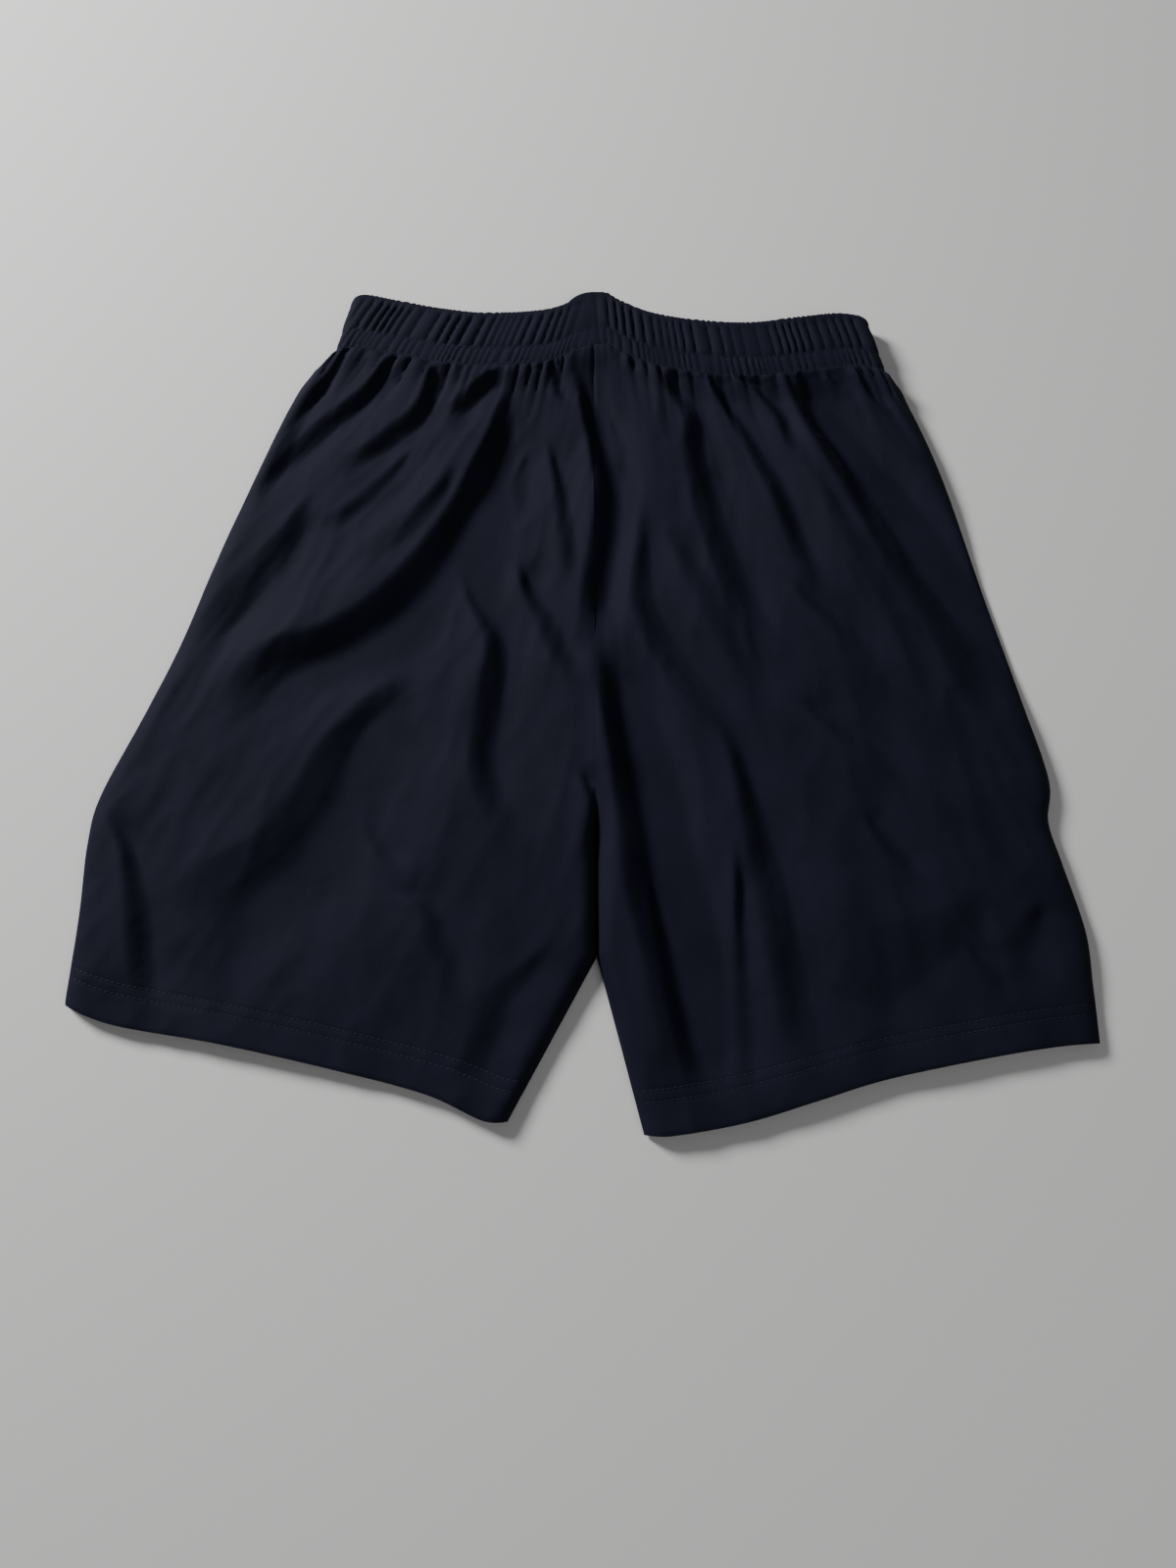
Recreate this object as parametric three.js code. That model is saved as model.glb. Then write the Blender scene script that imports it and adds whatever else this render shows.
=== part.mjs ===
// Boxing shorts, lying flat with their back side up: two legs, a gathered elastic waistband and
// turned-up hems. Units are millimetres. +X runs along the waist, +Y from the hems to the waist,
// and +Z up from the surface that the shorts lie on. Every layer of cloth, seam allowance and row
// of stitching is a closed solid of its own, a named clearance away from what it is sewn to.

import * as THREE from 'three';

// ---------- driving dimensions ----------

const PLY = 0.8; // one layer of cloth with the air in it
const GAP = 0.3; // clearance between layers that are sewn together
const JOIN_GAP = 0.5; // clearance between the band's lower edge and the panels
const THREAD = 0.4; // thickness of a row of stitching
const THREAD_WIDTH = 0.8; // its width
const FLOOR_CLEARANCE = 0.05; // the lowest thread to the surface below

const BAND_HEIGHT = 40; // waistband, top edge to lower edge
const BAND_LOFT = 9.2; // front band to back band, middle to middle
const BAND_UPPER_ROW = 27; // stitch rows, measured down from the band's top edge
const BAND_LOWER_ROW = 38.4;
const ELASTIC_THICKNESS = 1.4;
const ELASTIC_HEIGHT = 32;

const CLOTH_LOFT = 10; // front panel to back panel, middle to middle
const EDGE_SHARE = 0.12; // share of a leg's width over which the layers come together
const FACING_SLIT = 0.6; // free space inside the folded hem at a leg's side
const SEAM_ALLOWANCE = 10; // width of the cloth turned in at a seam
const HEM_DEPTH = 25; // turned-up hem
const HEM_UPPER_ROW = 23.8; // stitch rows, measured up from the hem's edge
const HEM_LOWER_ROW = 17.6;
const BACK_RISE = 298; // band to crotch along the centre seam
const FORK_DROP = 89; // crotch to the point where the legs part
const LABEL_THICKNESS = 0.3;

// Each side of the shorts as it lies. Sign is -1 on the left. Lengths run outwards from the centre
// seam and down from the band. bandTop holds points of the band's wavy top edge, as the share of
// bandEnd and the height above its centre. sideEdge holds points of the outer edge, as the share
// of the way down it and how far it stands out from a straight line.
const SIDES = [
  {
    name: 'left',
    sign: -1,
    bandEnd: 158,
    bandFlare: 9,
    bandTop: [[0, 0], [0.07, -3], [0.12, -8], [0.23, -12], [0.45, -12.5], [0.65, -7.5],
      [0.82, -1], [0.94, 3.5], [1, 1.5]],
    hemOut: 300,
    hemOutDrop: 412,
    hemIn: 49,
    hemInDrop: 476,
    hemSag: 3,
    sideEdge: [[0.02, 10.5], [0.042, 15], [0.088, 17], [0.21, 19.5], [0.31, 21.5], [0.469, 21.6],
      [0.592, 24.7], [0.726, 30.4], [0.795, 26.1], [0.885, 13.8]],
  },
  {
    name: 'right',
    sign: 1,
    bandEnd: 176,
    bandFlare: 9,
    bandTop: [[0, 0], [0.05, 0], [0.1, -6], [0.22, -16], [0.39, -22.5], [0.57, -25],
      [0.72, -22.5], [0.87, -20], [0.95, -21.5], [1, -25]],
    hemOut: 272,
    hemOutDrop: 436,
    hemIn: 25,
    hemInDrop: 483,
    hemSag: 0,
    sideEdge: [[0.012, 9], [0.05, 11.8], [0.182, 16], [0.359, 17.1], [0.526, 19], [0.648, 19.6],
      [0.706, 11.5], [0.764, 11.5], [0.859, 12], [0.933, 6]],
  },
];

const COLOURS = {
  cloth: '#1b1e27',
  elastic: '#101114',
  thread: '#232733',
  label: '#d8d8d4',
};

// ---------- sizes that follow ----------

const BAND_THICKNESS = 2 * PLY + 2 * GAP + ELASTIC_THICKNESS;
const THREAD_STANDOFF = GAP + THREAD / 2; // from a face to the middle of its stitching
const LIFT = GAP + THREAD + FLOOR_CLEARANCE; // how far a stitched face stands off the surface
const BAND_FRONT_Z = BAND_THICKNESS / 2 + LIFT;
const EDGE_LOFT = PLY + 2 * GAP + 2 * PLY + FACING_SLIT;
const ALLOWANCE_THICKNESS = EDGE_LOFT - PLY - 2 * GAP;
const FLAT_TOP = 30; // length over which the cloth falls from the band's level
const HEM_CLEAR = HEM_DEPTH + 3; // the hem and its stitching lie below this
const HEM_RAMP = 14; // length over which the hem lifts off the surface

// Columns run from the centre seam or inseam, 0, to the side seam, 1. Rows run from the band, 0,
// to the hem's edge, 1. Layers that lie on each other share them, so their facets stay parallel.
const EDGE_COLUMNS = [0, 0.25, 0.5, 0.75, 1].map((share) => share * EDGE_SHARE);
const COLUMNS = [
  ...EDGE_COLUMNS,
  0.24, 0.37, 0.5, 0.63, 0.76,
  ...EDGE_COLUMNS.map((share) => 1 - share).reverse(),
];
const TOP_ROWS = [0, FLAT_TOP / 2, FLAT_TOP, 1.8 * FLAT_TOP]; // distances down from the band
const HEM_ROWS = [HEM_CLEAR + HEM_RAMP, HEM_CLEAR, 0]; // distances up from the hem's edge
const MIDDLE_ROWS = [0.19, 0.27, 0.35, 0.43, 0.51, 0.58, 0.62, 0.66, 0.7, 0.75, 0.8, 0.85];
const RISE_SEAM_START = 4; // the rise seams begin this far below the band
const CROTCH_CLEAR = 1.4; // and end this far above the inseams
const BEND_STEPS = 6;

// ---------- small helpers ----------

const lerp = THREE.MathUtils.lerp;
const smooth = (value) => THREE.MathUtils.smoothstep(value, 0, 1);

// Moves every vertex of a geometry, and turns the faces round if that turned it inside out.
function warp(geometry, place) {
  const position = geometry.getAttribute('position');
  const point = new THREE.Vector3();
  for (let i = 0; i < position.count; i += 1) {
    point.fromBufferAttribute(position, i);
    position.setXYZ(i, ...place(point.x, point.y, point.z));
  }
  const solid = geometry.index ? geometry.toNonIndexed() : geometry;
  if (signedVolume(solid) < 0) {
    turnFaces(solid);
  }
  solid.computeVertexNormals();
  return solid;
}

function signedVolume(geometry) {
  const position = geometry.getAttribute('position');
  const [a, b, c] = [new THREE.Vector3(), new THREE.Vector3(), new THREE.Vector3()];
  let sum = 0;
  for (let i = 0; i < position.count; i += 3) {
    a.fromBufferAttribute(position, i);
    b.fromBufferAttribute(position, i + 1);
    c.fromBufferAttribute(position, i + 2);
    sum += a.dot(b.cross(c));
  }
  return sum / 6;
}

function turnFaces(geometry) {
  const position = geometry.getAttribute('position');
  const [b, c] = [new THREE.Vector3(), new THREE.Vector3()];
  for (let i = 0; i < position.count; i += 3) {
    b.fromBufferAttribute(position, i + 1);
    c.fromBufferAttribute(position, i + 2);
    position.setXYZ(i + 1, c.x, c.y, c.z);
    position.setXYZ(i + 2, b.x, b.y, b.z);
  }
}

// A sheet of one thickness over chosen columns and rows. place(u, v) gives its middle.
function sheetSolid(columns, rows, thickness, place) {
  const geometry = new THREE.BoxGeometry(1, 1, 1, columns.length - 1, rows.length - 1, 1);
  return warp(geometry, (x, y, z) => {
    const column = columns[Math.round((x + 0.5) * (columns.length - 1))];
    const row = rows[Math.round((y + 0.5) * (rows.length - 1))];
    const middle = place(column, row);
    return [middle[0], middle[1], middle[2] + z * thickness];
  });
}

// A section swept along a run, which has numbered stations: place(station, out, up) gives each
// point of the section there.
function sweptSolid({ stations, place }, section) {
  const shape = new THREE.Shape(section.map(([out, up]) => new THREE.Vector2(out, up)));
  const options = { depth: 1, steps: stations - 1, bevelEnabled: false };
  const geometry = new THREE.ExtrudeGeometry(shape, options);
  return warp(geometry, (x, y, z) => place(Math.round(z * (stations - 1)), x, y));
}

function rectangle(outLow, outHigh, upLow, upHigh) {
  return [[outLow, upLow], [outHigh, upLow], [outHigh, upHigh], [outLow, upHigh]];
}

function addPiece(group, name, geometry, colour, roughness) {
  const material = new THREE.MeshStandardMaterial({ color: colour, roughness, metalness: 0 });
  const mesh = new THREE.Mesh(geometry, material);
  mesh.name = name;
  group.add(mesh);
}

// ---------- the shape of one side ----------

// Curves and heights of one side, in its own frame: x out from the centre seam, y up from the
// band's top at the centre seam.
function layOut(side) {
  const topPoints = side.bandTop.map(([share, rise]) => new THREE.Vector2(share, rise));
  const topCurve = new THREE.SplineCurve(topPoints);

  // Height of the band's top edge at a share of its length.
  function bandTopY(share) {
    const place = THREE.MathUtils.clamp(share, 0, 1);
    let low = 0;
    let high = 1;
    for (let i = 0; i < 30; i += 1) {
      const middle = (low + high) / 2;
      if (topCurve.getPoint(middle).x < place) {
        low = middle;
      } else {
        high = middle;
      }
    }
    return topCurve.getPoint(low).y;
  }

  function bandX(along, down) {
    return along + (side.bandFlare * down * along) / (BAND_HEIGHT * side.bandEnd);
  }

  // The line that the panels' top edges follow, just below the band.
  function joinLine(share) {
    const x = bandX(share * side.bandEnd, BAND_HEIGHT);
    return new THREE.Vector2(x, bandTopY(share) - BAND_HEIGHT - JOIN_GAP);
  }

  const corner = joinLine(1);
  const hemCorner = new THREE.Vector2(side.hemOut, -BAND_HEIGHT - side.hemOutDrop);
  const chord = hemCorner.clone().sub(corner);
  const standOut = new THREE.Vector2(-chord.y, chord.x).normalize();
  const edgePoints = side.sideEdge.map(([share, out]) => (
    corner.clone().addScaledVector(chord, share).addScaledVector(standOut, out)));
  const outerEdge = new THREE.SplineCurve([corner, ...edgePoints, hemCorner]);

  const seamTop = joinLine(0);
  const forkY = seamTop.y - BACK_RISE - FORK_DROP;
  const innerEdge = new THREE.CurvePath();
  const seamX = GAP / 2;
  const seamStart = new THREE.Vector2(seamX, seamTop.y);
  const fork = new THREE.Vector2(seamX, forkY);
  const hemInner = new THREE.Vector2(side.hemIn, -BAND_HEIGHT - side.hemInDrop);
  innerEdge.add(new THREE.LineCurve(seamStart, fork));
  innerEdge.add(new THREE.LineCurve(fork, hemInner));
  const length = innerEdge.getLength();
  const topRows = TOP_ROWS.map((down) => down / length);
  const hemRows = HEM_ROWS.map((up) => 1 - up / length);
  const rows = [...topRows, ...MIDDLE_ROWS, ...hemRows];

  // A point of the cloth, seen from above.
  function plan(u, v) {
    const inner = innerEdge.getPointAt(v);
    const outer = outerEdge.getPointAt(v);
    const point = inner.clone().lerp(outer, u);
    const topPull = Math.max(0, 1 - v / 0.3) ** 2;
    if (topPull > 0) {
      const wave = joinLine(Math.min(u, 1)).sub(seamTop.clone().lerp(corner, u));
      point.addScaledVector(wave, topPull);
    }
    const hemPull = Math.max(0, (v - 0.7) / 0.3) ** 2;
    point.y -= side.hemSag * 4 * u * (1 - u) * hemPull;
    return point;
  }

  // 1 at the band, and 0 where the cloth has come down from its level.
  function nearBand(v) {
    return smooth(1 - (v * length) / FLAT_TOP);
  }

  // Middle of the front panel. It lies on the surface, and lifts at the band and the hem.
  function frontZ(v) {
    const nearHem = smooth(1 - ((1 - v) * length - HEM_CLEAR) / HEM_RAMP);
    return PLY / 2 + nearBand(v) * (BAND_FRONT_Z - PLY / 2) + nearHem * LIFT;
  }

  // Middle of the back panel. It comes down to the front panel at the side and the inseam.
  function backZ(u, v) {
    const level = lerp(PLY / 2 + CLOTH_LOFT, BAND_FRONT_Z + BAND_LOFT, nearBand(v));
    const belowCrotch = smooth((length * v - BACK_RISE) / (FORK_DROP / 2));
    const outer = smooth((1 - u) / EDGE_SHARE);
    const inner = lerp(1, smooth(u / EDGE_SHARE), belowCrotch);
    return lerp(frontZ(v) + EDGE_LOFT, level, Math.min(outer, inner));
  }

  return { side, length, rows, plan, frontZ, backZ, bandTopY, bandX };
}

// Turns a point of a side's own frame into the shorts' frame.
function worldPoint(side, x, y, z) {
  return [side.sign * x, y, z];
}

// ---------- the cloth panels ----------

function panelSolid(shape, isBack) {
  const { side, rows, plan, frontZ, backZ } = shape;
  return sheetSolid(COLUMNS, rows, PLY, (u, v) => {
    const point = plan(u, v);
    return worldPoint(side, point.x, point.y, isBack ? backZ(u, v) : frontZ(v));
  });
}

// ---------- the waistband ----------

// Follows one half of the band: along the front, round the side and back along the back. out is
// the distance outwards from the band's middle, and down the distance below its top edge.
function bandRun(shape) {
  const { side, bandTopY, bandX } = shape;
  const radius = BAND_LOFT / 2;
  const centre = side.bandEnd - radius - BAND_THICKNESS / 2;
  const straight = COLUMNS.map((u) => u * side.bandEnd).filter((along) => along < centre - 2);
  straight[0] = GAP / 2;
  straight.push(centre);
  const last = straight.length - 1;
  const stations = 2 * straight.length + BEND_STEPS - 1;

  function place(station, out, down) {
    let along;
    let z;
    if (station <= last) {
      along = straight[station];
      z = BAND_FRONT_Z - out;
    } else if (station >= last + BEND_STEPS) {
      along = straight[stations - 1 - station];
      z = BAND_FRONT_Z + BAND_LOFT + out;
    } else {
      const angle = (Math.PI * (station - last)) / BEND_STEPS;
      along = centre + (radius + out) * Math.sin(angle);
      z = BAND_FRONT_Z + radius - (radius + out) * Math.cos(angle);
    }
    const y = bandTopY(along / side.bandEnd) - down;
    return worldPoint(side, bandX(along, down), y, z);
  }
  return { stations, place };
}

// The casing is folded over the elastic, so its section is open at the bottom.
function casingSection() {
  const outer = BAND_THICKNESS / 2;
  const inner = outer - PLY;
  return [[-outer, BAND_HEIGHT], [-outer, 0], [outer, 0], [outer, BAND_HEIGHT],
    [inner, BAND_HEIGHT], [inner, PLY], [-inner, PLY], [-inner, BAND_HEIGHT]];
}

function elasticSection() {
  const half = ELASTIC_THICKNESS / 2;
  const top = PLY + GAP;
  return rectangle(-half, half, top, top + ELASTIC_HEIGHT);
}

function bandThreadSection(down) {
  const out = BAND_THICKNESS / 2 + THREAD_STANDOFF;
  return threadSection(out, down);
}

function threadSection(out, up) {
  const halfWidth = THREAD_WIDTH / 2;
  return rectangle(out - THREAD / 2, out + THREAD / 2, up - halfWidth, up + halfWidth);
}

// ---------- the hems ----------

// Follows a leg's hem: along the back, round the side seam and back along the front. out is the
// distance outwards from the panels' middle, and up the distance above the hem's edge.
function hemRun(shape) {
  const { side, length, plan, frontZ, backZ } = shape;
  const last = COLUMNS.length - 1;
  const stations = 2 * COLUMNS.length + BEND_STEPS - 1;

  function place(station, out, up) {
    const v = 1 - up / length;
    const onBack = station <= last;
    const onFront = station >= last + BEND_STEPS;
    if (onBack || onFront) {
      const u = COLUMNS[onBack ? station : stations - 1 - station];
      const point = plan(u, v);
      const z = onBack ? backZ(u, v) + out : frontZ(v) - out;
      return worldPoint(side, point.x, point.y, z);
    }
    const edge = plan(1, v);
    const outwards = edge.clone().sub(plan(0.9, v)).normalize();
    const angle = (Math.PI * (station - last)) / BEND_STEPS;
    const radius = (backZ(1, v) - frontZ(v)) / 2 + out;
    edge.addScaledVector(outwards, radius * Math.sin(angle));
    const z = (backZ(1, v) + frontZ(v)) / 2 + radius * Math.cos(angle);
    return worldPoint(side, edge.x, edge.y, z);
  }
  return { stations, place };
}

function facingSection() {
  return rectangle(-PLY * 1.5 - GAP, -PLY / 2 - GAP, 0, HEM_DEPTH);
}

function hemThreadSection(up) {
  return threadSection(PLY / 2 + THREAD_STANDOFF, up);
}

// ---------- the seams ----------

// A side's rows from one distance below the band to another, both ends included.
function rowsBetween(shape, start, end) {
  const apart = 2 / shape.length;
  const [low, high] = [start / shape.length, end / shape.length];
  return [low, ...shape.rows.filter((row) => row > low + apart && row < high - apart), high];
}

// The allowance turned in along the side seam, between the two panels.
function sideSeamSolid(shape) {
  const { side, length, plan, frontZ } = shape;
  const rows = rowsBetween(shape, 0, length - HEM_CLEAR);
  return sheetSolid([0, 1], rows, ALLOWANCE_THICKNESS, (inwards, v) => {
    const edge = plan(1, v);
    const inner = plan(0.9, v).sub(edge).setLength(SEAM_ALLOWANCE * inwards);
    edge.add(inner);
    return worldPoint(side, edge.x, edge.y, frontZ(v) + EDGE_LOFT / 2);
  });
}

// The allowance turned in along the inside of the leg, from the crotch to the hem.
function inseamSolid(shape) {
  const { side, length, plan, frontZ } = shape;
  const rows = rowsBetween(shape, BACK_RISE + GAP, length - HEM_CLEAR);
  return sheetSolid([0, 1], rows, ALLOWANCE_THICKNESS, (outwards, v) => {
    const edge = plan(0, v);
    const outer = plan(0.1, v).sub(edge).setLength(SEAM_ALLOWANCE * outwards);
    edge.add(outer);
    return worldPoint(side, edge.x, edge.y, frontZ(v) + EDGE_LOFT / 2);
  });
}

// The allowance of the centre seam, pressed to one side, under the back panel or over the front.
function riseSeamSolid(shape, isBack) {
  const { side, plan, frontZ, backZ } = shape;
  const rows = rowsBetween(shape, RISE_SEAM_START, BACK_RISE - CROTCH_CLEAR);
  return sheetSolid([0, 1], rows, PLY, (outwards, v) => {
    const point = plan(0, v);
    point.x += SEAM_ALLOWANCE * outwards;
    const z = isBack ? backZ(0, v) - PLY - GAP : frontZ(v) + PLY + GAP;
    return worldPoint(side, point.x, point.y, z);
  });
}

// The blank care label, sewn in under the back of the band and hanging inside.
function labelSolid(shape) {
  const { side, length, plan, backZ } = shape;
  const columns = COLUMNS.filter((u) => u > 0.05 && u < 0.25);
  const rows = TOP_ROWS.map((down) => down / length);
  return sheetSolid(columns, rows, LABEL_THICKNESS, (u, v) => {
    const point = plan(u, v);
    const z = backZ(u, v) - PLY / 2 - GAP - LABEL_THICKNESS / 2;
    return worldPoint(side, point.x, point.y, z);
  });
}

// ---------- the whole garment ----------

function addSide(group, shape) {
  const { name } = shape.side;
  const band = bandRun(shape);
  const hem = hemRun(shape);
  const cloth = (piece, geometry) => {
    addPiece(group, `${piece}_${name}`, geometry, COLOURS.cloth, 0.85);
  };
  const thread = (piece, geometry) => {
    addPiece(group, `${piece}_${name}`, geometry, COLOURS.thread, 0.7);
  };
  cloth('back_panel', panelSolid(shape, true));
  cloth('front_panel', panelSolid(shape, false));
  cloth('waistband_casing', sweptSolid(band, casingSection()));
  addPiece(group, `waist_elastic_${name}`, sweptSolid(band, elasticSection()), COLOURS.elastic, 0.8);
  thread('waistband_stitch_upper', sweptSolid(band, bandThreadSection(BAND_UPPER_ROW)));
  thread('waistband_stitch_lower', sweptSolid(band, bandThreadSection(BAND_LOWER_ROW)));
  cloth('hem_facing', sweptSolid(hem, facingSection()));
  thread('hem_stitch_upper', sweptSolid(hem, hemThreadSection(HEM_UPPER_ROW)));
  thread('hem_stitch_lower', sweptSolid(hem, hemThreadSection(HEM_LOWER_ROW)));
  cloth('side_seam', sideSeamSolid(shape));
  cloth('inseam', inseamSolid(shape));
}

const shorts = new THREE.Group();
const [leftShape, rightShape] = SIDES.map(layOut);
addSide(shorts, leftShape);
addSide(shorts, rightShape);
addPiece(shorts, 'back_rise_seam', riseSeamSolid(rightShape, true), COLOURS.cloth, 0.85);
addPiece(shorts, 'front_rise_seam', riseSeamSolid(rightShape, false), COLOURS.cloth, 0.85);
addPiece(shorts, 'care_label', labelSolid(leftShape), COLOURS.label, 0.6);

// The origin is on the surface below, under the middle of the garment as it lies.
const extent = new THREE.Box3().setFromObject(shorts);
const middle = extent.getCenter(new THREE.Vector3());
shorts.position.set(-middle.x, -middle.y, -extent.min.z);

export default shorts;
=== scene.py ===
# %% [markdown]
# # Boxing shorts, laid flat with the back side up
# The shorts are thin woven cloth with a wide gathered waistband. The measured CAD model is loaded
# first. It gives every piece its place, and it is never moved. New cloth is then made over it,
# with the folds, gathers and stitches that a plain solid doesn't have.

# %% Load the measured frame
import math
import bpy
import numpy as np
from mathutils import Matrix, Vector, noise


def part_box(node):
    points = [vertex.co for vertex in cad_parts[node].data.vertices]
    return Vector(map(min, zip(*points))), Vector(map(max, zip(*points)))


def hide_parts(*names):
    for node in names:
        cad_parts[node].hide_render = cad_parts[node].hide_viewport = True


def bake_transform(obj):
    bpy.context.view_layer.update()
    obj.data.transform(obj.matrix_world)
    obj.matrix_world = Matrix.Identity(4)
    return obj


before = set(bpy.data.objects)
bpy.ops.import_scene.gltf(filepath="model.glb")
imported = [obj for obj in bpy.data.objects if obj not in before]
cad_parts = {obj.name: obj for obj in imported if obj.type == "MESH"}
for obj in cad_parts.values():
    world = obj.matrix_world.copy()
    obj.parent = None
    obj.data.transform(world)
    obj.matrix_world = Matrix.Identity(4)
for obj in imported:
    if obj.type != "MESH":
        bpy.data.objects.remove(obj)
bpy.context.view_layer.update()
MM = 0.001

# %% [markdown]
# ## The outline
# Each half of the shorts is one tube of cloth. Its plan is four lines: the join under the band,
# the centre seam and inseam, the side, and the hem. A smooth curve through a few measured points
# gives each line, as a tailor's French curve would. All lengths here are in millimetres.

# %% Measures and the lines of each half
SEAM_X, TOP_Y = 13.574, 259.6
BAND_DEPTH, UPPER_ROW, LOWER_ROW = 40.0, 27.0, 38.4
RISE, FORK_DROP = 298.0, 89.0
HEM_UPPER_ROW, HEM_LOWER_ROW, HEM_DEPTH = 23.8, 17.6, 25.0
HALVES = {
    "left": dict(
        sign=-1, band_end=158, flare=9, hem_out=(300, 452), hem_in=(49, 516),
        hem_wave=[(0, 0), (.05, -2), (.17, 3.5), (.37, 3.5), (.63, 1), (.88, -4), (1, 0)],
        band_top=[(0, 0), (.07, -3), (.12, -8), (.23, -12), (.45, -12.5), (.65, -7.5),
                  (.82, -1), (.94, 3.5), (1, 1.5)],
        edge=[(.02, 6), (.042, 11.5), (.088, 16.5), (.21, 19.5), (.31, 21.5), (.469, 21.6),
              (.592, 24.7), (.726, 30.4), (.795, 26.1), (.885, 13.8)]),
    "right": dict(
        sign=1, band_end=176, flare=9, hem_out=(272, 476), hem_in=(25, 523),
        hem_wave=[(0, 0), (.06, -3), (.22, -3.8), (.38, 0), (.53, 3.6), (.75, 4), (.9, 2.7),
                  (1, 0)],
        band_top=[(0, 0), (.05, 0), (.1, -6), (.22, -16), (.39, -22.5), (.57, -25),
                  (.72, -22.5), (.87, -20), (.95, -21.5), (1, -25)],
        edge=[(.012, 4.5), (.05, 10), (.182, 16), (.359, 17.1), (.526, 19), (.648, 19.6),
              (.706, 11.5), (.764, 11.5), (.859, 12), (.933, 6)]),
}


def smooth(t):
    t = np.clip(t, 0.0, 1.0)
    return t * t * (3.0 - 2.0 * t)


def through(points, count=400):
    """A smooth curve through the points."""
    p = np.array(points, float)
    t = np.linspace(0, len(p) - 1, count)
    i = np.minimum(t.astype(int), len(p) - 2)
    w = (t - i)[:, None]
    a, b = p[np.maximum(i - 1, 0)], p[i]
    c, d = p[i + 1], p[np.minimum(i + 2, len(p) - 1)]
    g, h = (c - a) / 2, (d - b) / 2
    return (2 * b - 2 * c + g + h) * w**3 + (3 * c - 3 * b - 2 * g - h) * w**2 + g * w + b


class Line:
    """A line that is read by the share of its length."""

    def __init__(self, points):
        self.points = np.array(points, float)
        steps = np.hypot(*np.diff(self.points, axis=0).T)
        self.run = np.concatenate([[0], np.cumsum(steps)])
        self.length = self.run[-1]

    def at(self, share):
        run = np.asarray(share) * self.length
        return np.stack([np.interp(run, self.run, self.points[:, k]) for k in (0, 1)], -1)


def band_top(half, share):
    curve = half["top_curve"]
    return np.interp(np.clip(share, 0, 1), curve[:, 0], curve[:, 1])


def band_x(half, along, down):
    return along + half["flare"] * down * along / (BAND_DEPTH * half["band_end"])


def join_line(half, share):
    x = band_x(half, share * half["band_end"], BAND_DEPTH)
    return np.stack([x, band_top(half, share) - BAND_DEPTH - 0.5], -1)


for half in HALVES.values():
    half["top_curve"] = through(half["band_top"])
    half["wave_curve"] = through(half["hem_wave"])
    start, end = join_line(half, 1.0), np.array([half["hem_out"][0], -half["hem_out"][1]])
    chord = end - start
    out = np.array([-chord[1], chord[0]]) / np.hypot(*chord)
    side = [start] + [start + chord * share + out * far for share, far in half["edge"]] + [end]
    half["outer"] = Line(through(side))
    seam_top = join_line(half, 0.0)
    fork = np.array([0.02, seam_top[1] - RISE - FORK_DROP])
    hem_in = np.array([half["hem_in"][0], -half["hem_in"][1]])
    half["inner"] = Line([[0.02, seam_top[1]], fork, hem_in])
    half["long"] = half["inner"].length
    half["corner"], half["seam_top"] = start, seam_top
    print("outseam", round(half["outer"].length), "inner edge", round(half["long"]), "mm")


def plan(half, u, v):
    """A point of the cloth from above. u runs from the inner edge, 0, to the side, 1, and v from
    the band, 0, to the hem, 1."""
    inner, outer = half["inner"].at(v), half["outer"].at(v)
    point = inner + (outer - inner) * u[..., None]
    pull = np.maximum(0, 1 - v / 0.3) ** 2
    straight = half["seam_top"] + (half["corner"] - half["seam_top"]) * u[..., None]
    point += (join_line(half, u) - straight) * pull[..., None]
    wave = np.interp(u, half["wave_curve"][:, 0], half["wave_curve"][:, 1])
    point[..., 1] += wave * np.maximum(0, (v - 0.7) / 0.3) ** 2
    wide = outer[..., 0] - inner[..., 0]
    return SEAM_X + half["sign"] * point[..., 0], TOP_Y + point[..., 1], wide

# %% [markdown]
# ## The folds
# Light cloth that is put down by hand keeps a few long folds, which start at the gathers and
# fan out. They could be left to a cloth simulation, but it would put them where it likes. So
# each fold is a line through a few places, in millimetres, like a stroke of a sculptor's tool.
# Such a fold has a crest, a wall that drops away from it, and a long side on which the cloth
# comes back up.

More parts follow.
